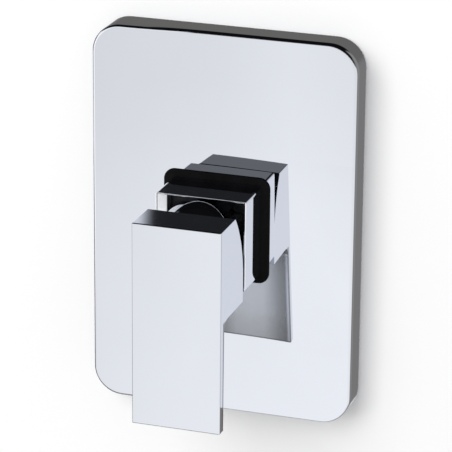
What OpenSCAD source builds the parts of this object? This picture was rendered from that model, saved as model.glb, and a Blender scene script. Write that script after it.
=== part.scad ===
// Concealed single-lever shower mixer: a brass valve that is built into the wall, with the trim
// that shows on the tiles: cover plate, square sleeve, ball cap and lever.
// All sizes are in millimetres. +Z is up and +X is to the right of a person facing the wall.
// The origin lies on the cartridge's axis, in the plane of the finished wall.
// Depths are counted out of the wall, along -Y, so a negative depth is inside the wall.

/* [Cover plate] */
// Width of the plate
plate_w = 120; // [100:1:160]
// Height of the plate
plate_h = 174; // [130:1:200]
// Depth of the plate's front face, out of the wall
plate_front = 16; // [14:0.5:20]
// Gap between the wall and the plate's back rim, bridged by the wall seal
plate_lift = 0.8; // [0.4:0.1:1.5]
// Thickness of the plate's sheet
plate_t = 1.5; // [1:0.1:2]
// Radius of the plate's four corners
plate_corner_r = 13; // [9:0.5:18]
// Radius on the plate's front rim
plate_rim_r = 1.2; // [0.4:0.1:1.4]
// Distance of the plate's middle from the valve's axis, to the right
plate_shift = 2; // [0:0.5:4]

/* [Wall seal] */
// Width of the foam strip inside the plate's rim
seal_w = 5; // [3:0.5:7]
// Height of the foam strip
seal_t = 4; // [2:0.5:6]

/* [Square sleeve] */
// Room between the ball cap and the sleeve around it, each side
cap_room = 0.6; // [0.4:0.1:1.5]
// Thickness of the sleeve's wall
sleeve_t = 0.8; // [0.5:0.1:1]
// Outer corner radius of the sleeve
sleeve_corner_r = 1.2; // [1.1:0.1:2.5]
// Reach of the sleeve's front rim beyond the plate's front face
sleeve_reach = 22.2; // [20:0.1:26]
// Clearance between the sleeve and what slides inside it, each side
sleeve_clear = 0.15; // [0.1:0.05:0.3]
// Distance of the sleeve's back end in front of the sleeve carrier's back face
sleeve_end_gap = 0.3; // [0:0.1:2]

/* [Sleeve gasket] */
// Width of the rubber flange on the plate, around the sleeve
gasket_flange = 3.8; // [2.5:0.1:6]
// Thickness of the flange at the sleeve
gasket_root_t = 1.2; // [0.9:0.1:2]
// Thickness of the flange at its rounded outer edge
gasket_edge_t = 0.7; // [0.5:0.1:0.8]
// Thickness of the rubber tongue between the plate's hole and the sleeve
gasket_tongue = 0.7; // [0.5:0.1:0.9]
// Width of the rubber lip behind the plate
gasket_lip = 1.6; // [1.2:0.1:2.5]
// Thickness of the rubber lip behind the plate
gasket_lip_t = 1.5; // [1:0.1:2.5]

/* [Lever] */
// Metal left beside the ball's hollow, at the hub's thinnest place
hub_wall = 0.5; // [0.4:0.1:1]
// How far the lever lifts, in degrees
lift_angle = 25; // [15:1:27]
// Depth of the lever's front face, beyond the plate's front face
lever_reach = 54; // [52:0.5:58]
// Height of the hub's top above the axis
hub_up = 17; // [15:0.5:18]
// Drop of the hub's underside below the axis
hub_down = 24.5; // [22:0.5:28]
// Gap between the hub's back and the sleeve's front rim
hub_gap = 1.4; // [0.5:0.1:2.5]
// Drop below the axis at which the hub's back starts to curve forward
back_curve_start = 14; // [12:0.5:18]
// Radius of the curved upper part of the hub's back
back_curve_r = 48; // [44:1:56]
// Drop of the blade's tip below the axis
blade_down = 75; // [60:1:95]
// Thickness of the blade at the hub
blade_root_t = 5; // [4.5:0.1:6]
// Thickness of the blade at its tip
blade_tip_t = 4.5; // [3.5:0.1:5]
// Radius of the fillet between the hub's underside and the blade
blade_fillet_r = 5; // [3:0.5:7]
// Radius on the lever's outer edges
lever_edge_r = 0.5; // [0.3:0.1:1]
// Clearance around the spindle in the lever's socket
socket_clear = 0.05; // [0.02:0.01:0.15]
// Metal left between the spindle's socket and the lever's front face
socket_floor = 3; // [2:0.5:4]
// Gap between the spindle's tip and the end of its socket
tip_gap = 0.2; // [0.1:0.1:1]

/* [Lever screw] */
// Diameter of the grub screw
grub_d = 5; // [4:0.5:6]
// Length of the grub screw
grub_len = 8; // [6:0.5:10]
// Distance of the grub screw's axis behind the lever's front face
grub_inset = 10; // [9:0.5:10.5]
// Width across flats of the grub screw's hexagon socket
grub_key = 2.5; // [2:0.5:3]
// Length of the plug that closes the screw's hole
plug_len = 4; // [3:0.5:6]

/* [Ball cap] */
// Clearance between the cap's skirt and the valve's neck
cap_clear = 0.2; // [0.1:0.05:0.4]
// Thickness of the ball cap's wall
dome_t = 1; // [0.8:0.05:1.5]
// Radius of the cap's round front opening
dome_opening_r = 13; // [12.5:0.25:13.5]
// Gap between the cap's back end and the sleeve carrier
cap_end_gap = 0.5; // [0.2:0.1:2]
// Gap between the ball cap and the hollow in the hub
ball_gap = 0.3; // [0.2:0.05:0.4]
// Distance of the lever's pivot behind the sleeve's front rim
pivot_set_back = 0.7; // [0:0.1:1.5]

/* [Cartridge] */
// Thickness of the housing's wall around the discs
cart_wall = 1.8; // [1.5:0.1:2.5]
// Thickness of the housing's wall around the carrier's flange
head_wall = 0.6; // [0.5:0.1:0.8]
// Front end of the housing, in front of the pivot
cart_head_front = 5.5; // [5:0.25:5.75]
// Shoulder of the housing, behind the pivot
cart_shoulder = 7.8; // [7.4:0.1:8.2]
// Radius of the turning spindle carrier
carrier_r = 9.5; // [9.3:0.05:9.6]
// Running clearance around the spindle carrier
carrier_clear = 0.05; // [0.03:0.01:0.1]
// How far the carrier stands in front of the housing
carrier_proud = 0.5; // [0.2:0.1:1]
// Width of the carrier's retaining flange
carrier_flange_w = 0.9; // [0.7:0.1:1.1]
// Front face of the retaining flange, behind the pivot
carrier_flange_front = 7.2; // [7.1:0.1:7.6]
// Thickness of the retaining flange
carrier_flange_t = 1.8; // [1.4:0.1:1.9]
// Running clearance around the retaining flange
flange_clear = 0.2; // [0.1:0.05:0.3]
// Width of the spindle
spindle_w = 8; // [7:0.1:8.2]
// Height of the spindle
spindle_t = 7; // [6:0.1:7.2]
// Radius of the spindle's inner arm
spindle_arm_r = 2.5; // [2:0.1:2.7]
// Radius of the ball on the spindle's inner end
spindle_ball_r = 3; // [2.8:0.1:3]
// Distance of that ball behind the pivot
spindle_ball_reach = 11; // [10.8:0.1:11.2]
// Clearance on each side of the spindle in its carrier
spindle_clear = 0.1; // [0.05:0.05:0.3]
// Clearance of the tilting spindle at the ends of its travel
tilt_clear = 0.45; // [0.3:0.05:0.7]
// Radius of the pivot pin
pin_r = 1.5; // [1.2:0.1:1.8]
// Distance of the pin's ends inside the carrier's edge
pin_inset = 0.3; // [0.1:0.1:1]
// Running clearance around pivot pin and ball
pin_clear = 0.05; // [0.03:0.01:0.08]
// Radius of the two ceramic discs' driver and of the moving disc
disc_r = 9.4; // [9:0.1:10.5]
// Rest offset of the moving disc above the axis, half its travel
disc_offset = 2.3; // [2.2:0.1:2.4]
// Room left around the moving disc at the ends of its travel
slide_room = 0.5; // [0.3:0.1:1]
// Thickness of the disc driver behind the ball's bore
driver_floor = 0.5; // [0.4:0.1:1]
// Room behind the spindle's ball in that bore
ball_room = 0.3; // [0.2:0.1:0.6]
// Sideways distance of the driver's pegs from the axis
driver_peg_x = 6; // [5:0.5:7]
// Radius of the driver's pegs
driver_peg_r = 1.2; // [0.8:0.1:1.5]
// Length of the driver's pegs
driver_peg_len = 1.6; // [1:0.1:1.8]
// Thickness of the moving ceramic disc
moving_disc_t = 3.2; // [3:0.1:3.6]
// Thickness of the fixed ceramic disc
fixed_disc_t = 3.45; // [3:0.05:4]
// Gap between the lapped faces of the discs
disc_gap = 0.05; // [0.02:0.01:0.1]
// Depth of the mixing hollow in the moving disc's back
mix_depth = 1.2; // [0.8:0.1:1.5]
// Corner radius of the mixing hollow
mix_r = 2.5; // [1.5:0.1:2.6]
// Sideways distance of the hollow's two lower corners
mix_x = 4.5; // [4:0.25:5]
// Height of the hollow's two lower corners above the axis
mix_low = 1.5; // [1:0.25:2.5]
// Distance of the hollow's upper corner above the mixed-water port
mix_over = 1; // [0:0.25:1.25]
// Radius of the housing's two keys for the fixed disc and the base
key_r = 1.1; // [0.8:0.1:1.3]
// Clearance around the keys
key_clear = 0.1; // [0.05:0.05:0.2]
// Distance of the keys inside the housing's outer edge
key_inset = 0.3; // [0.2:0.1:1]
// Thickness of the base between its flange and the fixed disc
base_plug_t = 2; // [1.5:0.1:3]
// Thickness of the cartridge base's flange
base_flange_t = 2; // [1.5:0.1:3]
// Radius of the base's two locating pegs
base_peg_r = 1.5; // [1:0.1:1.6]
// Length of the locating pegs
base_peg_len = 2.5; // [2:0.5:4]
// Sideways distance of the locating pegs from the axis
base_peg_x = 9.5; // [9:0.25:10]
// Height of the locating pegs above the axis
base_peg_z = 5; // [4:0.25:6]
// Clearance around the locating pegs
peg_clear = 0.1; // [0.05:0.05:0.3]
// Room behind the locating pegs
peg_room = 0.5; // [0.2:0.1:1]
// Sideways distance of the hot and cold ports from the axis
port_x = 7; // [6.8:0.1:7.2]
// Drop of the hot and cold ports below the axis
port_drop = 4.5; // [4.3:0.1:4.7]
// Height of the mixed-water port above the axis
port_rise = 7; // [6.8:0.1:7.2]
// Radius of the ports
port_r = 2.6; // [2.2:0.1:2.7]
// Thickness of a port seal
port_seal_t = 1.5; // [1:0.1:1.5]
// Width of a port seal's rubber
port_seal_w = 1.2; // [1:0.1:1.3]

/* [Retaining nut] */
// How far the nut's thread stands out beyond the cartridge
nut_lip = 2; // [1.5:0.1:2.5]
// Clearance between the nut and the cartridge's upper housing
nut_clear = 0.2; // [0.1:0.05:0.4]
// Length of the nut
nut_len = 5; // [4.5:0.1:6]
// Number of spanner slots in the nut's front
nut_slots = 4; // [3:1:6]
// Width of a spanner slot
nut_slot_w = 4; // [3:0.5:5]
// Depth of a spanner slot
nut_slot_depth = 2; // [1.5:0.25:2.5]

/* [Sleeve carrier] */
// Depth of the carrier's back face, out of the wall
block_back = 4.5; // [3.5:0.1:5.5]
// How far the carrier reaches in front of the plate
block_reach = 3; // [2:0.1:5]
// Clearance between the carrier and the valve's neck
block_clear = 0.1; // [0.05:0.05:0.2]
// Width of the rubber grip ring
grip_w = 3; // [2:0.25:4]
// Thickness of the groove that the grip ring lies in
grip_groove = 0.8; // [0.6:0.05:0.9]
// Thickness of the snap ring
clip_t = 1.2; // [1:0.1:1.4]
// Depth of the snap ring's groove in the neck
clip_groove = 0.8; // [0.6:0.05:1]
// Radial width of the snap ring
clip_w = 1.6; // [1.3:0.1:1.6]
// Width of the opening in the snap ring
clip_gap = 6; // [4:0.5:10]
// Distance of the snap ring behind the carrier's front face
clip_inset = 0.2; // [0.1:0.1:0.5]
// Clearance around the snap ring in the carrier
clip_room = 0.2; // [0.1:0.05:0.3]

/* [Valve body] */
// Thickness of the neck's wall around the nut's thread
neck_wall = 2; // [1.8:0.1:3]
// Distance of the neck's front end behind the pivot
neck_set_back = 4.5; // [4:0.1:5]
// Clearance around the cartridge in the neck
neck_clear = 0.1; // [0.05:0.05:0.2]
// Depth of the plain relief behind the nut's thread
nut_relief = 0.5; // [0.2:0.1:1]
// Distance behind the pivot of the groove for the cap's ring
cap_ring_back = 14; // [13:0.25:15]
// Depth of that groove, and half its width
cap_ring_groove = 1.2; // [0.9:0.1:1.5]
// Width of the shoulder that the sleeve carrier rests on
shoulder_w = 2.3; // [1.5:0.1:3]
// Depth of the pipes' centre line inside the wall
pipe_depth = 24; // [22:0.5:34]
// Radius of the horizontal barrel with the inlets
barrel_r = 15; // [14:0.5:17]
// Distance of each inlet's mouth from the axis
inlet_reach = 44; // [42:0.5:50]
// Radius of the upright barrel with the outlets
riser_r = 14; // [13:0.5:16]
// Height of the upper outlet's mouth above the axis
outlet_up = 46; // [42:0.5:56]
// Drop of the lower outlet's mouth below the axis
outlet_down = 40; // [38:0.5:50]
// Thread core radius of the pipe sockets (half-inch pipe thread)
socket_r = 9.3; // [9:0.05:9.5]
// Depth of the pipe sockets
socket_depth = 15; // [12:0.5:16]
// Radius of the hot and cold chambers
chamber_r = 7; // [6:0.25:8]
// Radius of the upright waterway
waterway_r = 5; // [4:0.25:5]
// Sideways distance of the wall fixing holes from the axis
fixing_x = 30; // [28:0.5:32]
// Upright distance of the wall fixing holes from the axis
fixing_z = 24; // [22:0.5:28]
// Radius of the wall fixing holes
fixing_hole_r = 2.75; // [2:0.25:3.25]
// Radius of the pads around the wall fixing holes
fixing_pad_r = 7; // [6:0.25:8]
// Thickness of the fixing ears
fixing_t = 6; // [4:0.5:8]

/* [Lower outlet plug] */
// Length of the plug's thread
outlet_plug_len = 11; // [8:0.5:11.5]
// Width across flats of the plug's head
outlet_plug_af = 24; // [23:0.5:27]
// Height of the plug's head
outlet_plug_head = 6; // [4:0.5:8]
// Thickness of the plug's sealing washer
washer_t = 1.5; // [1:0.1:2.5]
// Radial width of the sealing washer
washer_w = 2.4; // [2:0.1:2.6]

/* [Hidden] */
$fn = 96;
eps = 0.01;

// Radii, from the discs outwards
chamber_in_r = disc_r + disc_offset + slide_room;
cart_r = chamber_in_r + cart_wall;
carrier_flange_r = carrier_r + carrier_flange_w;
cart_head_r = carrier_flange_r + flange_clear + head_wall;
nut_r = cart_r + nut_lip;
neck_r = nut_r + neck_wall;
shoulder_r = neck_r + shoulder_w;
dome_r = neck_r + cap_clear + dome_t;
hollow_r = dome_r + ball_gap;
lever_w = 2 * (hollow_r + hub_wall);
sleeve_in = 2 * (dome_r + cap_room);
sleeve_w = sleeve_in + 2 * sleeve_t;
plate_hole = sleeve_w + 2 * gasket_tongue;

// Depths out of the wall
sleeve_rim = plate_front + sleeve_reach;
sleeve_back = block_back + sleeve_end_gap;
block_front = plate_front + block_reach;
pivot = sleeve_rim - pivot_set_back;
dome_skirt = pivot - block_front - cap_end_gap;
neck_front = pivot - neck_set_back;
clip_back = block_front - clip_t - clip_inset;
grip_depth = (block_back + block_front) / 2;
body_back = -pipe_depth - barrel_r;

lever_front = plate_front + lever_reach;
hub_back = sleeve_rim + hub_gap;
blade_taper = (blade_root_t - blade_tip_t) / (blade_down - hub_down);
fillet_drop = hub_down + blade_fillet_r;
fillet_depth = lever_front - blade_root_t + blade_taper * blade_fillet_r - blade_fillet_r;
spindle_tip = lever_front - socket_floor - tip_gap;
grub_depth = lever_front - grub_inset;

// Depths in the cartridge, counted forward from the pivot
carrier_back = -(carrier_flange_front + carrier_flange_t);
chamber_front = carrier_back - flange_clear;
driver_front = chamber_front - flange_clear;
driver_back = -(spindle_ball_reach + spindle_ball_r + ball_room + driver_floor);
moving_back = driver_back - moving_disc_t;
fixed_front = moving_back - disc_gap;
fixed_back = fixed_front - fixed_disc_t;
housing_back = fixed_back - base_plug_t;
base_back = housing_back - base_flange_t;
seat = pivot + base_back;

base_pegs = [[-base_peg_x, base_peg_z], [base_peg_x, base_peg_z]];
ports = [[-port_x, -port_drop], [port_x, -port_drop], [0, port_rise]];
clip_in_r = neck_r - clip_groove;
clip_out_r = clip_in_r + clip_w;
cap_ring_in = neck_r - cap_ring_groove;
cap_ring_out = dome_r - dome_t;

// Helpers

// Stands a child on the wall: its X stays, its Y becomes up and its Z points out of the wall
module out_of_wall(depth = 0) translate([0, -depth, 0]) rotate([90, 0, 0]) children();

// Extrudes a side view, drawn as depth against height, over a width centred on the axis
module across(width) rotate([90, 0, -90]) linear_extrude(width, center = true) children();

// Extrudes a plan view, drawn as X against depth, between two heights
module upright(low, high) translate([0, 0, low]) linear_extrude(high - low) mirror([0, 1]) children();

// A rectangle with round corners
module round_rect(w, h, r) {
    square([w - 2 * r, h], center = true);
    square([w, h - 2 * r], center = true);
    for (x = [-1, 1], y = [-1, 1]) translate([x * (w / 2 - r), y * (h / 2 - r)]) circle(r);
}

// Sweeps a profile around a rounded rectangle: profile X points outward from the edge
module around_rect(w, h, r) {
    for (x = [-1, 1]) {
        translate([x * w / 2, 0, 0]) mirror([x < 0 ? 1 : 0, 0, 0])
            rotate([90, 0, 0]) linear_extrude(h - 2 * r, center = true) children();
        translate([0, x * h / 2, 0]) rotate([0, 0, x * 90])
            rotate([90, 0, 0]) linear_extrude(w - 2 * r, center = true) children();
    }
    for (x = [-1, 1], y = [-1, 1])
        translate([x * (w / 2 - r), y * (h / 2 - r), 0]) rotate([0, 0, corner_turn(x, y)])
            rotate_extrude(angle = 90) translate([r, 0]) children();
}

function corner_turn(x, y) = x > 0 ? (y > 0 ? 0 : 270) : (y > 0 ? 90 : 180);

// Waste outside a rounded corner at the origin, where the body lies towards (sx, sy)
module corner_waste(r, sx, sy) difference() {
    translate([sx > 0 ? -1 : -r, sy > 0 ? -1 : -r]) square(r + 1);
    translate([sx * r, sy * r]) circle(r);
}

// A ring of rectangular section, from one height to another
module ring(r_in, r_out, low, high) translate([0, 0, low]) difference() {
    cylinder(r = r_out, h = high - low);
    translate([0, 0, -1]) cylinder(r = r_in, h = high - low + 2);
}

// Trim on the wall

module faceplate() {
    depth = plate_front - plate_lift;
    color("gainsboro") translate([plate_shift, 0, 0]) out_of_wall(plate_lift) difference() {
        union() {
            translate([0, 0, depth - plate_t]) linear_extrude(plate_t)
                round_rect(plate_w - 2 * plate_rim_r, plate_h - 2 * plate_rim_r,
                           plate_corner_r - plate_rim_r);
            around_rect(plate_w, plate_h, plate_corner_r) plate_rim_profile(depth);
        }
        translate([-plate_shift, 0, depth - plate_t - 1]) linear_extrude(plate_t + 2)
            round_rect(plate_hole, plate_hole, sleeve_corner_r + gasket_tongue);
    }
}

// Side wall of the plate with its rounded front rim
module plate_rim_profile(depth) {
    translate([-plate_t, 0]) square([plate_t, depth - plate_rim_r]);
    translate([-plate_t, 0]) square([plate_t - plate_rim_r, depth]);
    intersection() {
        translate([-plate_rim_r, depth - plate_rim_r]) circle(plate_rim_r);
        translate([-plate_rim_r, depth - plate_rim_r]) square(plate_rim_r);
    }
}

module wall_seal() {
    w = plate_w - 2 * plate_t;
    h = plate_h - 2 * plate_t;
    r = plate_corner_r - plate_t;
    color("dimgray") translate([plate_shift, 0, 0]) out_of_wall()
        around_rect(w, h, r) translate([-seal_w, 0]) square([seal_w, seal_t]);
}

module sleeve_gasket() {
    color([0.08, 0.08, 0.08]) out_of_wall(plate_front)
        around_rect(sleeve_w, sleeve_w, sleeve_corner_r) gasket_profile();
}

// Tapering flange on the plate, tongue through its hole and lip behind it
module gasket_profile() {
    edge_r = gasket_edge_t / 2;
    hull() {
        square([gasket_tongue, gasket_root_t]);
        translate([gasket_flange - edge_r, edge_r]) circle(edge_r, $fn = 16);
    }
    translate([0, -plate_t - gasket_lip_t]) square([gasket_tongue, plate_t + gasket_lip_t + eps]);
    translate([0, -plate_t - gasket_lip_t]) square([gasket_lip, gasket_lip_t]);
}

module square_sleeve() {
    color("silver") out_of_wall(sleeve_back) difference() {
        linear_extrude(sleeve_rim - sleeve_back) round_rect(sleeve_w, sleeve_w, sleeve_corner_r);
        translate([0, 0, -1]) linear_extrude(sleeve_rim - sleeve_back + 2)
            round_rect(sleeve_in, sleeve_in, sleeve_corner_r - sleeve_t);
    }
}

// Plastic block on the neck that guides and holds the sleeve
module sleeve_carrier() {
    w = sleeve_in - 2 * sleeve_clear;
    color("dimgray") out_of_wall() difference() {
        translate([0, 0, block_back]) linear_extrude(block_front - block_back) square(w, center = true);
        cylinder(r = neck_r + block_clear, h = block_front + 1);
        translate([0, 0, clip_back]) cylinder(r = clip_out_r + clip_room, h = block_front);
        translate([0, 0, grip_depth - grip_w / 2]) linear_extrude(grip_w) difference() {
            square(w + 2, center = true);
            square(w - 2 * grip_groove, center = true);
        }
    }
}

module sleeve_grip_ring() {
    bed = sleeve_in - 2 * sleeve_clear - 2 * grip_groove;
    color("black") out_of_wall(grip_depth - grip_w / 2) linear_extrude(grip_w) difference() {
        round_rect(sleeve_in, sleeve_in, sleeve_corner_r - sleeve_t);
        square(bed, center = true);
    }
}

// Open spring ring in the neck's groove, in front of the sleeve carrier
module carrier_snap_ring() {
    color("slategray") out_of_wall() difference() {
        ring(clip_in_r, clip_out_r, clip_back, clip_back + clip_t);
        translate([-clip_gap / 2, -clip_out_r - 1, clip_back - 1]) cube([clip_gap, clip_out_r, clip_t + 2]);
    }
}

// Ball cap: a straight skirt over the neck and a ball around the lever's pivot
module ball_cap() {
    color("lightgray") out_of_wall(pivot) rotate_extrude() difference() {
        union() {
            intersection() {
                circle(dome_r);
                translate([-dome_r, 0]) square([2 * dome_r, dome_r]);
            }
            translate([-dome_r, -dome_skirt]) square([2 * dome_r, dome_skirt]);
        }
        circle(dome_r - dome_t);
        translate([0, -dome_skirt - 1]) square([dome_r - dome_t, dome_skirt + 1]);
        square([dome_opening_r, dome_r + 1]);
        translate([-2 * dome_r, -2 * dome_r]) square([2 * dome_r, 4 * dome_r]);
    }
}

// Round sealing ring that grips the cap on the neck
module cap_ring() {
    section_r = (cap_ring_out - cap_ring_in) / 2;
    color("black") out_of_wall(pivot - cap_ring_back) rotate_extrude()
        translate([cap_ring_in + section_r, 0]) circle(section_r);
}

// Lever

// Side view of the lever: hub with curved upper back, fillet and tapering blade
module lever_side() difference() {
    polygon([[hub_back, -hub_down], [fillet_depth, -hub_down], [fillet_depth, -fillet_drop],
             [fillet_depth + blade_fillet_r, -fillet_drop], [lever_front - blade_tip_t, -blade_down],
             [lever_front, -blade_down], [lever_front, hub_up], [hub_back, hub_up]]);
    translate([fillet_depth, -fillet_drop]) circle(blade_fillet_r);
    difference() {
        translate([hub_back - 1, -back_curve_start]) square([back_curve_r / 2, back_curve_start + hub_up + 1]);
        translate([hub_back + back_curve_r, -back_curve_start]) circle(back_curve_r, $fn = 360);
    }
    translate([lever_front, hub_up]) corner_waste(lever_edge_r, -1, -1);
    translate([lever_front, -blade_down]) corner_waste(lever_edge_r, -1, 1);
    translate([lever_front - blade_tip_t, -blade_down]) corner_waste(lever_edge_r, 1, 1);
    translate([hub_back, -hub_down]) corner_waste(lever_edge_r, 1, 1);
}

module lever_handle() {
    tall = hub_up + blade_down;
    color("whitesmoke") difference() {
        intersection() {
            across(lever_w) lever_side();
            upright(-blade_down - 1, hub_up + 1) difference() {
                translate([-lever_w / 2, hub_back - 1]) square([lever_w, lever_front - hub_back + 1]);
                for (x = [-1, 1]) translate([x * lever_w / 2, lever_front])
                    corner_waste(lever_edge_r, -x, -1);
            }
            out_of_wall(hub_back - 1) linear_extrude(lever_front - hub_back + 2)
                translate([0, hub_up - tall / 2]) round_rect(lever_w, tall, lever_edge_r);
        }
        translate([0, -pivot, 0]) sphere(hollow_r);
        out_of_wall(pivot) linear_extrude(lever_front - socket_floor - pivot)
            square([spindle_w + 2 * socket_clear, spindle_t + 2 * socket_clear], center = true);
        translate([0, -grub_depth, -hub_down - 1]) cylinder(d = grub_d, h = hub_down + 1);
    }
}

// Grub screw that clamps the lever on the spindle, with its hexagon socket below
module lever_grub_screw() {
    color("dimgray") translate([0, -grub_depth, -spindle_t / 2 - grub_len]) difference() {
        cylinder(d = grub_d, h = grub_len);
        translate([0, 0, -1]) cylinder(d = grub_key / cos(30), h = grub_len / 2 + 1, $fn = 6);
    }
}

module screw_hole_plug() {
    color("gray") translate([0, -grub_depth, -hub_down]) cylinder(d = grub_d, h = plug_len);
}

// Cartridge

module retaining_nut() {
    back = -cart_shoulder;
    color("goldenrod") out_of_wall(pivot) difference() {
        ring(cart_head_r + nut_clear, nut_r, back, back + nut_len);
        for (i = [0 : nut_slots - 1]) rotate([0, 0, i * 360 / nut_slots])
            translate([cart_head_r - 1, -nut_slot_w / 2, back + nut_len - nut_slot_depth])
                cube([nut_r, nut_slot_w, nut_slot_depth + 1]);
    }
}

module cartridge_housing() {
    flange_bed = flange_clear - carrier_flange_front;
    color("white") out_of_wall(pivot) {
        difference() {
            union() {
                ring(carrier_r + carrier_clear, cart_head_r, -cart_shoulder, cart_head_front);
                ring(carrier_r + carrier_clear, cart_r, housing_back, -cart_shoulder);
            }
            translate([0, 0, chamber_front - 1])
                cylinder(r = carrier_flange_r + flange_clear, h = flange_bed - chamber_front + 1);
            translate([0, 0, housing_back - 1]) cylinder(r = chamber_in_r, h = chamber_front - housing_back + 1);
        }
        intersection() {
            for (x = [-1, 1]) translate([x * chamber_in_r, 0, housing_back])
                cylinder(r = key_r, h = fixed_front - housing_back);
            translate([0, 0, housing_back]) cylinder(r = cart_r - key_inset, h = fixed_front - housing_back);
        }
    }
}

// Turns in the housing with the lever and carries the spindle's pivot pin
module spindle_carrier() {
    front = cart_head_front + carrier_proud;
    above = front * tan(lift_angle) + spindle_t / 2 / cos(lift_angle) + tilt_clear;
    below = spindle_ball_reach * sin(lift_angle) + spindle_ball_r + tilt_clear;
    wide = spindle_w + 2 * spindle_clear;
    narrow = 2 * (spindle_ball_r + spindle_clear);
    boss = spindle_t / 2 + 2 * spindle_clear;
    color("lightsteelblue") out_of_wall(pivot) difference() {
        union() {
            translate([0, 0, carrier_back]) cylinder(r = carrier_r, h = front - carrier_back);
            translate([0, 0, carrier_back]) cylinder(r = carrier_flange_r, h = carrier_flange_t);
        }
        translate([-wide / 2, -boss, -boss]) cube([wide, boss + above, boss + front + 1]);
        translate([-narrow / 2, -below, carrier_back - 1]) cube([narrow, below + boss, 1 - carrier_back]);
        rotate([0, 90, 0]) cylinder(r = pin_r, h = 4 * carrier_r, center = true);
    }
}

module pivot_pin() {
    color("silver") out_of_wall(pivot) rotate([0, 90, 0])
        cylinder(r = pin_r, h = 2 * (carrier_r - pin_inset), center = true);
}

// Square outer arm for the lever, pivot boss, and inner arm whose ball moves the disc driver
module spindle() {
    color("darkkhaki") out_of_wall(pivot) difference() {
        union() {
            translate([-spindle_w / 2, -spindle_t / 2, 0])
                cube([spindle_w, spindle_t, spindle_tip - pivot]);
            rotate([0, 90, 0]) cylinder(r = spindle_t / 2, h = spindle_w, center = true);
            translate([0, 0, -spindle_ball_reach]) cylinder(r = spindle_arm_r, h = spindle_ball_reach);
            translate([0, 0, -spindle_ball_reach]) sphere(spindle_ball_r);
        }
        rotate([0, 90, 0]) cylinder(r = pin_r + pin_clear, h = 2 * spindle_w, center = true);
    }
}

// Slides in the chamber, pushed by the spindle's ball, and carries the moving disc on two pegs
module disc_driver() {
    color("orange") out_of_wall(pivot) {
        difference() {
            translate([0, disc_offset, driver_back]) cylinder(r = disc_r, h = driver_front - driver_back);
            translate([0, 0, driver_back + driver_floor])
                cylinder(r = spindle_ball_r + 2 * pin_clear, h = driver_front - driver_back);
        }
        for (x = [-1, 1]) translate([x * driver_peg_x, disc_offset, driver_back - driver_peg_len])
            cylinder(r = driver_peg_r, h = driver_peg_len + eps);
    }
}

// Upper ceramic disc: the hollow in its back joins the three ports when the lever is lifted
module moving_disc() {
    color("snow") out_of_wall(pivot) difference() {
        translate([0, disc_offset, moving_back]) cylinder(r = disc_r, h = moving_disc_t);
        for (x = [-1, 1]) translate([x * driver_peg_x, disc_offset, driver_back - driver_peg_len])
            cylinder(r = driver_peg_r, h = driver_peg_len + 1);
        translate([0, 0, moving_back - 1]) linear_extrude(mix_depth + 1) hull() {
            translate([0, port_rise + mix_over]) circle(mix_r, $fn = 32);
            for (x = [-1, 1]) translate([x * mix_x, mix_low]) circle(mix_r, $fn = 32);
        }
    }
}

// Lower ceramic disc with the three ports, keyed to the housing
module fixed_disc() {
    color("lightgrey") out_of_wall(pivot) difference() {
        translate([0, 0, fixed_back]) cylinder(r = chamber_in_r, h = fixed_disc_t);
        for (p = ports) translate([p[0], p[1], fixed_back - 1]) cylinder(r = port_r, h = fixed_disc_t + 2);
        for (x = [-1, 1]) translate([x * chamber_in_r, 0, fixed_back - 1])
            cylinder(r = key_r + key_clear, h = fixed_disc_t + 2);
    }
}

// Closes the housing, holds the port seals and is pegged into the valve's seat
module cartridge_base() {
    color("white") out_of_wall(pivot) difference() {
        union() {
            translate([0, 0, base_back]) cylinder(r = cart_r, h = base_flange_t);
            translate([0, 0, base_back]) cylinder(r = chamber_in_r, h = fixed_back - base_back);
            for (p = base_pegs) translate([p[0], p[1], base_back - base_peg_len])
                cylinder(r = base_peg_r, h = base_peg_len + 1);
        }
        for (x = [-1, 1]) translate([x * chamber_in_r, 0, housing_back])
            cylinder(r = key_r + key_clear, h = base_plug_t + 1);
        for (p = ports) translate([p[0], p[1], base_back - 1]) {
            cylinder(r = port_r, h = base_flange_t + base_plug_t + 2);
            cylinder(r = port_r + port_seal_w, h = port_seal_t + 1);
        }
    }
}

module port_seals() {
    color("black") out_of_wall(pivot) for (p = ports) translate([p[0], p[1], 0])
        ring(port_r, port_r + port_seal_w, base_back, base_back + port_seal_t);
}

// Valve in the wall

module valve_body() {
    color("darkgoldenrod") difference() {
        union() {
            out_of_wall() {
                translate([0, 0, -pipe_depth]) cylinder(r = neck_r, h = pipe_depth + neck_front);
                translate([0, 0, -pipe_depth]) cylinder(r = shoulder_r, h = pipe_depth + block_back);
            }
            translate([0, pipe_depth, 0]) rotate([0, 90, 0])
                cylinder(r = barrel_r, h = 2 * inlet_reach, center = true);
            translate([0, pipe_depth, -outlet_down]) cylinder(r = riser_r, h = outlet_down + outlet_up);
            for (x = [-1, 1]) fixing_ear(x * fixing_x);
        }
        neck_bores();
        waterways();
        for (x = [-1, 1], z = [-1, 1]) out_of_wall(body_back - 1)
            translate([x * fixing_x, z * fixing_z, 0]) cylinder(r = fixing_hole_r, h = fixing_t + 2);
    }
}

// Upright strap behind the barrel with a pad and a hole at each end
module fixing_ear(x) out_of_wall(body_back) {
    translate([x - fixing_pad_r, -fixing_z, 0]) cube([2 * fixing_pad_r, 2 * fixing_z, fixing_t]);
    for (z = [-1, 1]) translate([x, z * fixing_z, 0]) cylinder(r = fixing_pad_r, h = fixing_t);
}

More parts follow.
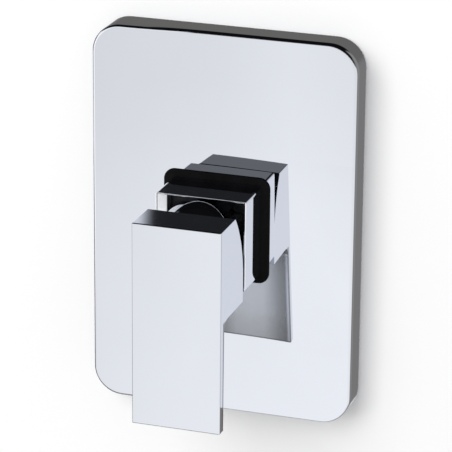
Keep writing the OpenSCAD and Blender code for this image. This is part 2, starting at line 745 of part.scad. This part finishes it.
// Cartridge bore, nut thread, ring grooves and peg holes
module neck_bores() {
    out_of_wall(seat) cylinder(r = cart_r + neck_clear, h = neck_front - seat + 1);
    out_of_wall(pivot - cart_shoulder - nut_relief)
        cylinder(r = nut_r, h = cart_shoulder + nut_relief - neck_set_back + 1);
    out_of_wall(pivot - cap_ring_back) ring(cap_ring_in, neck_r + 1, -cap_ring_groove, cap_ring_groove);
    out_of_wall() ring(clip_in_r, neck_r + 1, clip_back, clip_back + clip_t);
    for (p = base_pegs) out_of_wall(seat - base_peg_len - peg_room)
        translate([p[0], p[1], 0]) cylinder(r = base_peg_r + peg_clear, h = base_peg_len + peg_room + 1);
}

// Hot and cold inlets at the sides, mixed-water outlets above and below
module waterways() {
    drill_end = chamber_r / 2 - pipe_depth;
    for (x = [-1, 1]) {
        translate([x * port_x, pipe_depth, 0]) rotate([0, x * 90, 0])
            cylinder(r = chamber_r, h = inlet_reach - port_x + 1);
        translate([x * (inlet_reach - socket_depth), pipe_depth, 0]) rotate([0, x * 90, 0])
            cylinder(r = socket_r, h = socket_depth + 1);
        out_of_wall(drill_end) translate([x * port_x, -port_drop, 0])
            cylinder(r = port_r, h = seat - drill_end + 1);
    }
    out_of_wall(-pipe_depth) translate([0, port_rise, 0]) cylinder(r = port_r, h = seat + pipe_depth + 1);
    translate([0, pipe_depth, -outlet_down + 1]) cylinder(r = waterway_r, h = outlet_up + outlet_down - 2);
    translate([0, pipe_depth, outlet_up - socket_depth]) cylinder(r = socket_r, h = socket_depth + 1);
    translate([0, pipe_depth, -outlet_down - 1]) cylinder(r = socket_r, h = socket_depth + 1);
}

// Plug with a hexagon head in the unused lower outlet
module outlet_plug() {
    face = -outlet_down - washer_t;
    color("peru") translate([0, pipe_depth, 0]) {
        translate([0, 0, face]) cylinder(r = socket_r, h = outlet_plug_len + washer_t);
        translate([0, 0, face - outlet_plug_head])
            cylinder(d = outlet_plug_af / cos(30), h = outlet_plug_head, $fn = 6);
    }
}

module outlet_plug_washer() {
    color("darkred") translate([0, pipe_depth, 0])
        ring(socket_r, socket_r + washer_w, -outlet_down - washer_t, -outlet_down);
}

faceplate();
wall_seal();
sleeve_gasket();
square_sleeve();
sleeve_carrier();
sleeve_grip_ring();
carrier_snap_ring();
ball_cap();
cap_ring();
lever_handle();
lever_grub_screw();
screw_hole_plug();
retaining_nut();
cartridge_housing();
spindle_carrier();
pivot_pin();
spindle();
disc_driver();
moving_disc();
fixed_disc();
cartridge_base();
port_seals();
valve_body();
outlet_plug();
outlet_plug_washer();
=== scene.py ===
# Looks of the concealed shower mixer: finishes, wall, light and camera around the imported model

import math

import bpy
from mathutils import Matrix, Vector


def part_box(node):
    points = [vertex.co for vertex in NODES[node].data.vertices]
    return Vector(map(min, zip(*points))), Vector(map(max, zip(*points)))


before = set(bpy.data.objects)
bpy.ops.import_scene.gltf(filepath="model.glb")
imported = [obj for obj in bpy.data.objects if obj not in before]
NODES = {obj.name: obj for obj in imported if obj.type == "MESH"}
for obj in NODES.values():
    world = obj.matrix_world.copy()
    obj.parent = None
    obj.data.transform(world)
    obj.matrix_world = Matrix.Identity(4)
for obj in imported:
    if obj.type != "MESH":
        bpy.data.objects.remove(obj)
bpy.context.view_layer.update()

MM = 0.001


# Camera, fitted to the photograph: degrees, millimetres and pixels

PHOTO_SIDE = 452
CAM_AZIMUTH = 18.161
CAM_ELEVATION = 19.625
CAM_ROLL = 0.513
CAM_AIM = (4.306, -16.0, 0.37)
CAM_DISTANCE = 1276.6
CAM_FOCAL_PX = 2910.0
SENSOR_MM = 36.0
CLIP_NEAR = 0.05
CLIP_FAR = 20


def make_camera():
    a, e, r = (math.radians(v) for v in (CAM_AZIMUTH, CAM_ELEVATION, CAM_ROLL))
    back = Vector((math.sin(a) * math.cos(e), -math.cos(a) * math.cos(e), math.sin(e)))
    level = Vector((math.cos(a), math.sin(a), 0))
    over = back.cross(level)
    right = level * math.cos(r) + over * math.sin(r)
    up = over * math.cos(r) - level * math.sin(r)
    data = bpy.data.cameras.new("camera")
    data.sensor_width = SENSOR_MM
    data.lens = CAM_FOCAL_PX / PHOTO_SIDE * SENSOR_MM
    data.clip_start = CLIP_NEAR
    data.clip_end = CLIP_FAR
    cam = bpy.data.objects.new("camera", data)
    place = (Vector(CAM_AIM) + back * CAM_DISTANCE) * MM
    cam.matrix_world = Matrix.Translation(place) @ Matrix((right, up, back)).transposed().to_4x4()
    bpy.context.scene.collection.objects.link(cam)
    bpy.context.scene.camera = cam


# Node trees, of the materials and of the world


class Tree:
    """A node tree and short ways to add nodes to it. A value is a socket, or a constant."""

    def __init__(self, tree):
        self.nodes = tree.nodes
        self.links = tree.links

    def node(self, kind, **settings):
        made = self.nodes.new(kind)
        for key, value in settings.items():
            setattr(made, key, value)
        return made

    def feed(self, socket, value):
        """Link a socket's value, or set a number or a colour."""
        if isinstance(value, (int, float)):
            socket.default_value = value
        elif isinstance(value, tuple):
            socket.default_value = (*value, 1)
        else:
            self.links.new(value, socket)

    def math(self, operation, *values):
        made = self.node("ShaderNodeMath", operation=operation)
        for socket, value in zip(made.inputs, values):
            self.feed(socket, value)
        return made.outputs["Value"]

    def times(self, first, *others):
        for other in others:
            first = self.math("MULTIPLY", first, other)
        return first

    def mix(self, factor, first, second):
        made = self.node("ShaderNodeMix", data_type="RGBA")
        self.feed(made.inputs["Factor"], factor)
        self.feed(made.inputs[6], first)
        self.feed(made.inputs[7], second)
        return made.outputs[2]

    def range(self, value, low, high, start=0.0, end=1.0, kind="LINEAR"):
        """low where the value is at start, high where it is at end, and held beyond both."""
        made = self.node("ShaderNodeMapRange", interpolation_type=kind)
        for socket, limit in (("From Min", start), ("From Max", end), ("To Min", low), ("To Max", high)):
            made.inputs[socket].default_value = limit
        self.feed(made.inputs["Value"], value)
        return made.outputs["Result"]

    def ramp(self, factor, stops):
        """Colours, or grey tones, at stops between 0 and 1."""
        made = self.node("ShaderNodeValToRGB")
        elements = made.color_ramp.elements
        while len(elements) < len(stops):
            elements.new(0.5)
        for element, (at, tone) in zip(elements, stops):
            element.position = at
            element.color = (*tone, 1) if isinstance(tone, tuple) else (tone, tone, tone, 1)
        self.feed(made.inputs["Fac"], factor)
        return made.outputs["Color"]


class Finish(Tree):
    """A material with one Principled surface. Its textures lie in object space, in metres."""

    def __init__(self, name, metallic=0.0, roughness=0.5):
        self.material = bpy.data.materials.new(name)
        self.material.use_nodes = True
        super().__init__(self.material.node_tree)
        self.surface = self.nodes["Principled BSDF"]
        self.set("Metallic", metallic)
        self.set("Roughness", roughness)
        self.place = self.node("ShaderNodeTexCoord").outputs["Object"]

    def set(self, socket, value):
        self.feed(self.surface.inputs[socket], value)

    def now(self, socket):
        """What feeds a socket of the surface so far."""
        return self.surface.inputs[socket].links[0].from_socket

    def axis(self, name):
        made = self.node("ShaderNodeSeparateXYZ")
        self.feed(made.inputs["Vector"], self.place)
        return made.outputs[name]

    def noise(self, scale, detail, roughness=0.5):
        made = self.node("ShaderNodeTexNoise")
        self.feed(made.inputs["Vector"], self.place)
        for socket, value in (("Scale", scale), ("Detail", detail), ("Roughness", roughness)):
            made.inputs[socket].default_value = value
        return made.outputs["Fac"]

    def cells(self, scale):
        made = self.node("ShaderNodeTexVoronoi")
        self.feed(made.inputs["Vector"], self.place)
        made.inputs["Scale"].default_value = scale
        return made.outputs["Distance"]

    def rings(self, scale, axis):
        """Feed marks of a lathe along an axis."""
        made = self.node("ShaderNodeTexWave", wave_type="BANDS", bands_direction=axis)
        self.feed(made.inputs["Vector"], self.place)
        for socket, value in (("Scale", scale), ("Distortion", 0.6), ("Detail", 2)):
            made.inputs[socket].default_value = value
        return made.outputs["Fac"]

    def mottle(self, factor, dark, light, start=0.3, end=0.7):
        """Surface colour between two near tones."""
        self.set("Base Color", self.ramp(factor, [(start, dark), (end, light)]))

    def bump(self, height, distance):
        """Relief of the given height in metres. A second one adds to the first."""
        made = self.node("ShaderNodeBump")
        made.inputs["Strength"].default_value = 1.0
        made.inputs["Distance"].default_value = distance
        self.feed(made.inputs["Height"], height)
        if self.surface.inputs["Normal"].links:
            self.feed(made.inputs["Normal"], self.now("Normal"))
        self.set("Normal", made.outputs["Normal"])


# Chrome. Places are in metres in the part's frame, and those of an end or a middle come from the
# pieces' boxes at rest

PLATE_LOW, PLATE_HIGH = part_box("faceplate")
SLEEVE_LOW, SLEEVE_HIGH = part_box("square_sleeve")
LEVER_LOW, LEVER_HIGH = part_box("lever_handle")
HAIR = 0.0001
CHROME_DARK = (0.77, 0.795, 0.855)
CHROME_LIGHT = (0.79, 0.815, 0.875)
CAP_DARK = (0.74, 0.76, 0.80)
CAP_LIGHT = (0.76, 0.785, 0.825)

# Bow of the plate's sheet: its highest point, and its curvatures in 1/m, across and along. The one
# across grows from the low end to the high end
PLATE_BOW_X = (PLATE_LOW.x + PLATE_HIGH.x) / 2
PLATE_BOW_Z = 0.010
PLATE_LOW_END = -0.055
PLATE_HIGH_END = 0.034
PLATE_CURVE_LOW = 0.06
PLATE_CURVE_HIGH = 1.1
PLATE_CURVE_TALL = 0.58
# From this height on the sheet falls away faster, with the cube of the way in 1/m2, and over the
# end of the span in a straight line
PLATE_TURN_Z = 0.012
PLATE_TURN_SPAN = 0.028
PLATE_TURN = 7.2
# The rim is softer than its pressed radius: over this depth behind its front the side wall bends
# forward, by this much in 1/m at the right end and ever less towards the left end
PLATE_ROUND_DEPTH = 0.0057
PLATE_ROUND_Y = PLATE_LOW.y + PLATE_ROUND_DEPTH
PLATE_ROUND = 78.0
PLATE_ROUND_FROM = -0.050
PLATE_ROUND_TO = -0.005

# Sleeve: its wall, inner faces and rim, and how deep the painted light on the inner face at the left
# reaches
SLEEVE_WALL = 0.0008
SLEEVE_INNER_HALF = SLEEVE_HIGH.x - SLEEVE_WALL
SLEEVE_RIM_Y = SLEEVE_LOW.y
SLEEVE_RIM_HALF = SLEEVE_WALL / 2
SLEEVE_RIM_MIDDLE = SLEEVE_HIGH.x - SLEEVE_RIM_HALF
SLEEVE_RIM_ROUND = 0.0005
SLEEVE_PAINTED_LIGHT_DEPTH = 0.0117
SLEEVE_PAINTED_LIGHT_END_Y = SLEEVE_RIM_Y + SLEEVE_PAINTED_LIGHT_DEPTH
SLEEVE_PAINTED_LIGHT_FADE = 0.0015
# Painted light on the sleeve: roughness, glow colour and glow strength of the pale inner face at the left,
# and the share of these that the rim's outside half takes as a painted highlight line
PAINTED_LIGHT_ROUGH = 0.5
PAINTED_GLOW_COLOUR = (0.97, 0.98, 1.0)
PAINTED_GLOW_STRENGTH = 0.55
RIM_PAINTED_HIGHLIGHT_SHARE = 0.55

# Blade: its half width and tip, how deep behind its front and how far above its tip its back shows
BLADE_HALF_W = LEVER_HIGH.x
BLADE_TIP_Z = LEVER_LOW.z
BLADE_FRONT_DEPTH = 0.0036
BLADE_BACK_Y = LEVER_LOW.y + BLADE_FRONT_DEPTH
BLADE_BACK_SOFT = 0.0004
BLADE_LEN = 0.0495
BLADE_TOP_Z = BLADE_TIP_Z + BLADE_LEN
BLADE_BACK_ROUGH = 0.22
# Painted shade on its back: darker towards the tip, with a thin painted shadow line at the tip, and darker
# from its middle to near its edges, where a painted highlight strip runs
BLADE_SHADE_RISE = 0.014
BLADE_SHADE_LEN = 0.013
BLADE_SHADE_TONE = 0.82
BLADE_PAINTED_TIP_LINE = 0.0005
BLADE_PAINTED_TIP_TONE = 0.5
# Painted shade and a painted highlight strip across the blade's back, from its middle to its edge
BLADE_BACK_PAINTED_LIGHT = [
    (0.0, (0.76, 0.76, 0.74)), (0.33, (0.73, 0.73, 0.705)), (0.465, (0.64, 0.64, 0.62)),
    (0.585, (0.53, 0.53, 0.515)), (0.71, (0.42, 0.42, 0.405)), (0.83, (0.345, 0.345, 0.335)),
    (0.905, (0.31, 0.31, 0.305)), (0.955, (0.70, 0.70, 0.71)), (0.98, (0.60, 0.60, 0.61)),
    (0.995, (0.24, 0.24, 0.24)),
]


def chrome(name, dark=CHROME_DARK, light=CHROME_LIGHT, waviness=0.0008):
    """Mirror chrome: faint waves of the polished metal beneath, faint smears in the gloss."""
    s = Finish(name, metallic=1.0)
    s.mottle(s.noise(18, 2), dark, light)
    s.set("Roughness", s.range(s.noise(60, 4, 0.6), 0.012, 0.03, 0.4, 0.75))
    s.bump(s.noise(22, 1), waviness * MM)
    return s


def past(s, axis, at):
    """1 above a place on an axis, 0 below it."""
    return s.range(s.axis(axis), 0.0, 1.0, at, at + HAIR)


def short_of(s, axis, at):
    """1 below a place on an axis, 0 above it."""
    return s.range(s.axis(axis), 1.0, 0.0, at, at + HAIR)


def bowed_plate():
    """The cover's pressed sheet bows outward a little, which makes its mirror images smaller."""
    s = chrome("chrome_plate", waviness=0.0012)
    across = s.math("MAXIMUM", s.math("SUBTRACT", s.axis("X"), PLATE_BOW_X), 0.0)
    along = s.math("SUBTRACT", s.axis("Z"), PLATE_BOW_Z)
    curve = s.range(s.axis("Z"), PLATE_CURVE_LOW, PLATE_CURVE_HIGH, PLATE_LOW_END, PLATE_HIGH_END)
    wide = s.times(across, across, curve)
    tall = s.times(along, along, PLATE_CURVE_TALL)
    bow = s.times(s.math("ADD", wide, tall), -0.5)

    high = s.math("MAXIMUM", s.math("SUBTRACT", s.axis("Z"), PLATE_TURN_Z), 0.0)
    curved = s.math("MINIMUM", high, PLATE_TURN_SPAN)
    beyond = s.math("SUBTRACT", high, curved)
    turn = s.math("ADD", s.times(curved, curved, curved, -PLATE_TURN),
                  s.times(beyond, -3 * PLATE_TURN * PLATE_TURN_SPAN ** 2))

    front = s.math("MAXIMUM", s.math("SUBTRACT", PLATE_ROUND_Y, s.axis("Y")), 0.0)
    inward = s.math("SUBTRACT", s.times(front, front), PLATE_ROUND_DEPTH ** 2)
    rounding = s.range(s.axis("X"), 0.0, -PLATE_ROUND, PLATE_ROUND_FROM, PLATE_ROUND_TO, "SMOOTHSTEP")
    s.bump(s.math("ADD", s.math("ADD", bow, turn), s.times(inward, rounding)), 1.0)
    return s.material


def sleeve_with_painted_light():
    """Chrome with a rounded rim. The inner face at the left, to a set depth, is painted light: a pale matt
    colour that also glows. The rim's outside half is partly matt and glows a little, a painted highlight
    line."""
    s = chrome("chrome_sleeve")
    rim = s.range(s.axis("Y"), 1.0, 0.0, SLEEVE_RIM_Y + HAIR / 2, SLEEVE_RIM_Y + HAIR)
    sideways = s.math("ABSOLUTE", s.axis("X"))
    upright = s.math("ABSOLUTE", s.axis("Z"))
    off_middle = s.math("SUBTRACT", s.math("MAXIMUM", sideways, upright), SLEEVE_RIM_MIDDLE)
    crown = s.math("SUBTRACT", SLEEVE_RIM_HALF ** 2, s.times(off_middle, off_middle))
    s.bump(s.times(crown, rim, 0.5 / SLEEVE_RIM_ROUND), 1.0)

    # Where the painted light lies: the inner face at the left, from the rim to a set depth
    painted_lit_face = s.times(
        past(s, "X", -SLEEVE_INNER_HALF - 2 * HAIR),
        short_of(s, "X", -SLEEVE_INNER_HALF + HAIR),
        s.range(upright, 1.0, 0.0, SLEEVE_INNER_HALF, SLEEVE_INNER_HALF + HAIR),
        past(s, "Y", SLEEVE_RIM_Y + HAIR),
        s.range(s.axis("Y"), 1.0, 0.0, SLEEVE_PAINTED_LIGHT_END_Y, SLEEVE_PAINTED_LIGHT_END_Y + SLEEVE_PAINTED_LIGHT_FADE, "SMOOTHSTEP"),
    )
    # Painted light: a pale matt colour in place of the chrome there
    painted_lit_tone = s.ramp(s.noise(200, 3), [(0.3, (0.88, 0.89, 0.91)), (0.7, (0.93, 0.94, 0.96))])
    s.set("Base Color", s.mix(painted_lit_face, s.now("Base Color"), painted_lit_tone))
    # Painted highlight: the rim's outside half turns partly matt and glows, as a bright line
    painted_rim_line = s.range(sideways, 0.0, RIM_PAINTED_HIGHLIGHT_SHARE, SLEEVE_RIM_MIDDLE - HAIR, SLEEVE_RIM_MIDDLE)
    painted_glow_mask = s.math("MAXIMUM", painted_lit_face, s.times(rim, painted_rim_line))
    s.set("Roughness", s.math("MAXIMUM", s.now("Roughness"), s.times(painted_glow_mask, PAINTED_LIGHT_ROUGH)))
    s.set("Metallic", s.math("SUBTRACT", 1.0, painted_glow_mask))
    # Painted light: these places glow though they are no lamp
    s.set("Emission Color", PAINTED_GLOW_COLOUR)
    s.set("Emission Strength", s.times(painted_glow_mask, PAINTED_GLOW_STRENGTH))
    return s.material


def lever_chrome():
    """Chrome with painted shade on the blade's back, darker from its middle to near its two long edges,
    with a painted highlight strip there, darker towards the tip with a thin painted shadow line, and
    rougher.
    """
    s = chrome("chrome_lever")
    back = s.times(
        s.range(s.axis("Y"), 0.0, 1.0, BLADE_BACK_Y - BLADE_BACK_SOFT, BLADE_BACK_Y),
        s.range(s.axis("Z"), 1.0, 0.0, BLADE_TOP_Z, BLADE_TOP_Z + 10 * HAIR),
    )
    from_middle = s.range(s.math("ABSOLUTE", s.axis("X")), 0.0, 1.0, 0.0, BLADE_HALF_W)
    # Painted shade on the blade's back towards its tip, and a thin painted shadow line at the tip
    shade_from = BLADE_TIP_Z + BLADE_SHADE_RISE
    painted_shade_to_tip = s.range(s.axis("Z"), 1.0, BLADE_SHADE_TONE, shade_from, shade_from - BLADE_SHADE_LEN)
    painted_tip_shadow = s.range(s.axis("Z"), 1.0, BLADE_PAINTED_TIP_TONE,
                       BLADE_TIP_Z + 2 * BLADE_PAINTED_TIP_LINE, BLADE_TIP_Z + BLADE_PAINTED_TIP_LINE)
    # Painted shade and highlight on the back: the tones across it, times the painted shade towards the tip
    shade = s.node("ShaderNodeVectorMath", operation="SCALE")
    s.feed(shade.inputs[0], s.ramp(from_middle, BLADE_BACK_PAINTED_LIGHT))
    s.feed(shade.inputs["Scale"], s.times(painted_shade_to_tip, painted_tip_shadow))
    s.set("Base Color", s.mix(back, s.now("Base Color"), shade.outputs["Vector"]))
    s.set("Roughness", s.math("MAXIMUM", s.now("Roughness"), s.times(back, BLADE_BACK_ROUGH)))
    return s.material


# Other finishes

# The valve is machined on its neck, in front of the wall, and to this depth at the mouths of its
# sockets, at both sides, at the top and below
VALVE_LOW, VALVE_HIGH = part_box("valve_body")
MACHINED_DEPTH = 0.0003
SOCKET_SIDE = VALVE_HIGH.x - MACHINED_DEPTH
SOCKET_TOP = VALVE_HIGH.z - MACHINED_DEPTH
SOCKET_LOW = VALVE_LOW.z + MACHINED_DEPTH


def rubber(name, dark, light, roughness, grain, gloss=0.35):
    s = Finish(name)
    s.set("Specular IOR Level", gloss)
    s.mottle(s.noise(120, 4), dark, light, 0.35)
    s.set("Roughness", s.range(s.noise(400, 3), roughness - 0.06, roughness + 0.08))
    s.bump(s.noise(2500, 2), grain * MM)
    return s.material


def foam(name):
    s = Finish(name)
    cells = s.cells(900)
    s.mottle(cells, (0.10, 0.10, 0.105), (0.20, 0.20, 0.21), 0.1)
    s.set("Roughness", s.range(cells, 0.95, 0.8))
    s.bump(cells, 0.35 * MM)
    return s.material


def plastic(name, dark, light, roughness):
    """Injection-moulded part: slight mottling and the fine satin of the tool's surface."""
    s = Finish(name)
    s.set("Subsurface Weight", 0.05)
    s.surface.inputs["Subsurface Radius"].default_value = (0.002, 0.0015, 0.001)
    s.mottle(s.noise(90, 4), dark, light)
    s.set("Roughness", s.range(s.noise(300, 3), roughness - 0.05, roughness + 0.1))
    s.bump(s.noise(3000, 2), 0.01 * MM)
    return s.material


def turned(name, dark, light, axis, roughness=0.28):
    """Metal turned on a lathe: fine feed marks along the axis and a little tarnish."""
    s = Finish(name, metallic=1.0)
    tarnish = s.noise(70, 5, 0.6)
    s.mottle(tarnish, dark, light, 0.3, 0.72)
    s.set("Roughness", s.range(tarnish, roughness + 0.12, roughness, 0.3, 0.7))
    s.bump(s.rings(1100, axis), 0.012 * MM)
    return s.material


def cast_brass(name):
    """Sand-blasted casting, bright where the neck and the mouths of the sockets are machined."""
    s = Finish(name, metallic=1.0)
    tarnish = s.noise(45, 6, 0.62)
    cast = s.ramp(tarnish, [(0.3, (0.33, 0.235, 0.11)), (0.7, (0.50, 0.37, 0.18))])
    bright = s.ramp(tarnish, [(0.3, (0.60, 0.45, 0.20)), (0.7, (0.74, 0.58, 0.28))])
    sideways = s.math("ABSOLUTE", s.axis("X"))
    machined = s.range(s.axis("Y"), 1.0, 0.0, -2 * HAIR, 2 * HAIR)
    for mouth in (
        s.range(sideways, 0.0, 1.0, SOCKET_SIDE - HAIR, SOCKET_SIDE + HAIR),
        s.range(s.axis("Z"), 0.0, 1.0, SOCKET_TOP - HAIR, SOCKET_TOP + HAIR),
        s.range(s.axis("Z"), 1.0, 0.0, SOCKET_LOW - HAIR, SOCKET_LOW + HAIR),
    ):
        machined = s.math("MAXIMUM", machined, mouth)
    s.set("Base Color", s.mix(machined, cast, bright))
    s.set("Roughness", s.range(machined, 0.55, 0.25))
    grit = s.math("ADD", s.noise(1500, 3, 0.7), s.noise(220, 3))
    s.bump(s.times(grit, s.range(machined, 1.0, 0.05)), 0.12 * MM)
    return s.material


def ceramic(name):
    s = Finish(name)
    s.mottle(s.noise(200, 5), (0.80, 0.79, 0.75), (0.88, 0.87, 0.84))
    s.set("Roughness", s.range(s.noise(800, 2), 0.12, 0.2))
    return s.material


STEEL = turned("steel", (0.50, 0.51, 0.52), (0.62, 0.63, 0.64), "Y", 0.3)
BRASS = turned("brass", (0.60, 0.44, 0.19), (0.76, 0.59, 0.28), "Z")
SPINDLE_METAL = turned("spindle_metal", (0.60, 0.48, 0.26), (0.74, 0.62, 0.36), "Y")
SEAL_RUBBER = rubber("seal_rubber", (0.012, 0.012, 0.012), (0.022, 0.022, 0.022), 0.6, 0.01)
BLACK_RUBBER = rubber("black_rubber", (0.0015, 0.0015, 0.0018), (0.003, 0.003, 0.004), 0.48, 0.006, 0.1)
RED_FIBRE = rubber("red_fibre", (0.34, 0.09, 0.07), (0.46, 0.14, 0.10), 0.8, 0.03)
WHITE_PLASTIC = plastic("white_plastic", (0.78, 0.78, 0.76), (0.84, 0.84, 0.82), 0.42)
DARK_PLASTIC = plastic("dark_plastic", (0.010, 0.010, 0.011), (0.018, 0.018, 0.019), 0.5)
BLUE_PLASTIC = plastic("blue_plastic", (0.28, 0.38, 0.52), (0.35, 0.45, 0.60), 0.42)
ORANGE_PLASTIC = plastic("orange_plastic", (0.72, 0.36, 0.12), (0.80, 0.42, 0.16), 0.42)
GREY_PLASTIC = plastic("grey_plastic", (0.40, 0.41, 0.43), (0.46, 0.47, 0.49), 0.3)
DISC_CERAMIC = ceramic("disc_ceramic")

NODE_FINISH = {
    "faceplate": bowed_plate(),
    "wall_seal": foam("foam"),
    "sleeve_gasket": BLACK_RUBBER,
    "square_sleeve": sleeve_with_painted_light(),
    "sleeve_carrier": DARK_PLASTIC,
    "sleeve_grip_ring": SEAL_RUBBER,
    "carrier_snap_ring": STEEL,
    "ball_cap": chrome("chrome_cap", CAP_DARK, CAP_LIGHT).material,
    "cap_ring": SEAL_RUBBER,
    "lever_handle": lever_chrome(),
    "lever_grub_screw": STEEL,
    "screw_hole_plug": GREY_PLASTIC,
    "retaining_nut": BRASS,
    "cartridge_housing": WHITE_PLASTIC,
    "spindle_carrier": BLUE_PLASTIC,
    "pivot_pin": STEEL,
    "spindle": SPINDLE_METAL,
    "disc_driver": ORANGE_PLASTIC,
    "moving_disc": DISC_CERAMIC,
    "fixed_disc": DISC_CERAMIC,
    "cartridge_base": WHITE_PLASTIC,
    "port_seals": SEAL_RUBBER,
    "valve_body": cast_brass("cast_brass"),
    "outlet_plug": BRASS,
    "outlet_plug_washer": RED_FIBRE,
}


def dress_nodes():
    for name, finish in NODE_FINISH.items():
        mesh = NODES[name].data
        mesh.materials.clear()
        mesh.materials.append(finish)


# Wall, floor and light

WALL_HALF = 3.0
FLOOR_DROP = 0.45
PAINT = (0.955, 0.955, 0.955)
PAINT_LIGHT = (0.965, 0.965, 0.965)
KEY_AT = (-1.0, -2.8, 1.35)
KEY_SIZE = 2.5
KEY_WATTS = 69.0


def matt_white():
    """Matt white paint, which lets what stands behind the sheet show when it is seen from behind."""
    s = Finish("matt_white", roughness=0.9)
    s.set("Specular IOR Level", 0.1)
    s.mottle(s.noise(3, 2), PAINT, PAINT_LIGHT)
    clear = s.node("ShaderNodeBsdfTransparent")
    facing = s.node("ShaderNodeNewGeometry")
    split = s.node("ShaderNodeMixShader")
    s.feed(split.inputs["Fac"], facing.outputs["Backfacing"])
    s.feed(split.inputs[1], s.surface.outputs["BSDF"])
    s.feed(split.inputs[2], clear.outputs["BSDF"])
    s.feed(s.nodes["Material Output"].inputs["Surface"], split.outputs["Shader"])
    return s.material


def sheet(name, corners, material):
    mesh = bpy.data.meshes.new(name)
    mesh.from_pydata(corners, [], [(0, 1, 2, 3)])
    mesh.materials.append(material)
    made = bpy.data.objects.new(name, mesh)
    bpy.context.scene.collection.objects.link(made)
    made.visible_glossy = False
    return made


def make_stage():
    w, low = WALL_HALF, -FLOOR_DROP
    paint = matt_white()
    sheet("wall", [(-w, 0, low), (w, 0, low), (w, 0, w), (-w, 0, w)], paint)
    floor = sheet("floor", [(-w, -w, low), (w, -w, low), (w, w, low), (-w, w, low)], paint)
    # The wall and the object get their soft light as if there were no floor
    floor.visible_diffuse = False


def make_key_light():
    data = bpy.data.lights.new("key", "AREA")
    data.size = KEY_SIZE
    data.energy = KEY_WATTS
    made = bpy.data.objects.new("key", data)
    made.location = KEY_AT
    made.rotation_mode = "QUATERNION"
    made.rotation_quaternion = (-Vector(KEY_AT)).to_track_quat("-Z", "Y")
    made.visible_glossy = False
    bpy.context.scene.collection.objects.link(made)


# What a mirror sees of the studio, by direction: +Y lies behind the wall and +Z overhead. An edge
# names an axis, where the tone starts and where it is full. A later tone covers the ones before it

AMBIENT = (0.60, 0.60, 0.60)
WHITE = (1, 1, 1)
ROOM_LOW = (0.21, 0.205, 0.20)
ROOM_HIGH = (0.15, 0.144, 0.135)
ROOM_EDGE = ("Z", -0.1, 0.1)
FRONT_EDGE = ("Y", 0.15, 0.0)
PANEL_EDGES = (("X", -0.39, -0.45), ("Z", 0.30, 0.15))

TENT_ACROSS = ("X", -0.36, 0.04, ((0, 0.87), (0.15, 0.98), (0.375, 1.035), (0.8, 0.98), (1, 0.96)))
TENT_DOWN = ("Z", -0.20, -0.50, ((0, 0.925), (0.5, 1.0), (1, 1.03)))
SIDE_DARK = ("Z", -0.42, -0.20,
             ((0, 0.11), (0.4, 0.20), (0.5, 0.28), (0.6, 0.45), (0.75, 0.45), (1, 0.13)))

STUDIO = [
    # Pale wall end behind the object, low at the left
    ((("X", -0.05, -0.15), ("X", -0.6, -0.45), ("Z", -0.1, -0.2), ("Z", -0.80, -0.68)), (0.74, 0.75, 0.78)),
    # Grey between tent and card, then the dark card over the tent
    ((FRONT_EDGE,), (0.175, 0.175, 0.18)),
    ((FRONT_EDGE, ("Z", 0.3195, 0.3215)), (0.02, 0.02, 0.0215)),
    # Black ceiling
    ((("Z", 0.5, 0.6), ("Y", 0.75, 0.65)), (0.005, 0.005, 0.0055)),
    # White tent in front, and its bright end over the panel at the left
    ((FRONT_EDGE, ("Z", 0.25, 0.12)), (TENT_ACROSS, TENT_DOWN)),
    ((FRONT_EDGE, ("X", -0.3172, -0.3232), ("Z", 0.44, 0.40), ("Z", 0.0, 0.1)), (0.95, 0.95, 0.95)),
    # Grey table under the tent
    ((FRONT_EDGE, ("Z", -0.62, -0.75)), (0.3, 0.3, 0.3)),
    # White panel at the left, and its dark side
    ((*PANEL_EDGES, ("Z", -0.42, -0.33), ("Y", -0.26, -0.34)), (1.15, 1.15, 1.15)),
    ((*PANEL_EDGES, ("Y", -0.34, -0.26), ("Y", 0.85, 0.75)), (SIDE_DARK,)),
    # Grey room behind at the right, and a soft box straight behind
    ((("X", 0.45, 0.6), ("Y", 0.1, 0.3)), (0.272, 0.266, 0.25)),
    ((("Y", 0.945, 0.965),), (0.9, 0.9, 0.9)),
]


def make_world():
    """An even studio: white to the camera, soft light to matt surfaces, tent and cards to mirrors."""
    world = bpy.data.worlds.new("studio")
    bpy.context.scene.world = world
    world.use_nodes = True
    t = Tree(world.node_tree)
    direction = t.node("ShaderNodeSeparateXYZ")
    t.feed(direction.inputs["Vector"], t.node("ShaderNodeTexCoord").outputs["Generated"])

    def band(axis, start, end, kind="SMOOTHSTEP"):
        return t.range(direction.outputs[axis], 0.0, 1.0, start, end, kind)

    def graded(axis, start, end, stops):
        return t.ramp(band(axis, start, end, "LINEAR"), stops)

    seen = t.mix(band(*ROOM_EDGE), ROOM_LOW, ROOM_HIGH)
    for edges, tone in STUDIO:
        if isinstance(tone[0], tuple):
            tone = t.times(*[graded(*part) for part in tone])
        seen = t.mix(t.times(*[band(*edge) for edge in edges]), seen, tone)

    path = t.node("ShaderNodeLightPath")
    before_matt = t.math("LESS_THAN", path.outputs["Diffuse Depth"], 0.5)
    mirrored = t.times(path.outputs["Is Glossy Ray"], before_matt)
    lit = t.mix(mirrored, AMBIENT, seen)
    t.feed(t.nodes["Background"].inputs["Color"], t.mix(path.outputs["Is Camera Ray"], lit, WHITE))


bpy.context.scene.view_settings.view_transform = "Standard"
make_camera()
dress_nodes()
make_stage()
make_world()
make_key_light()
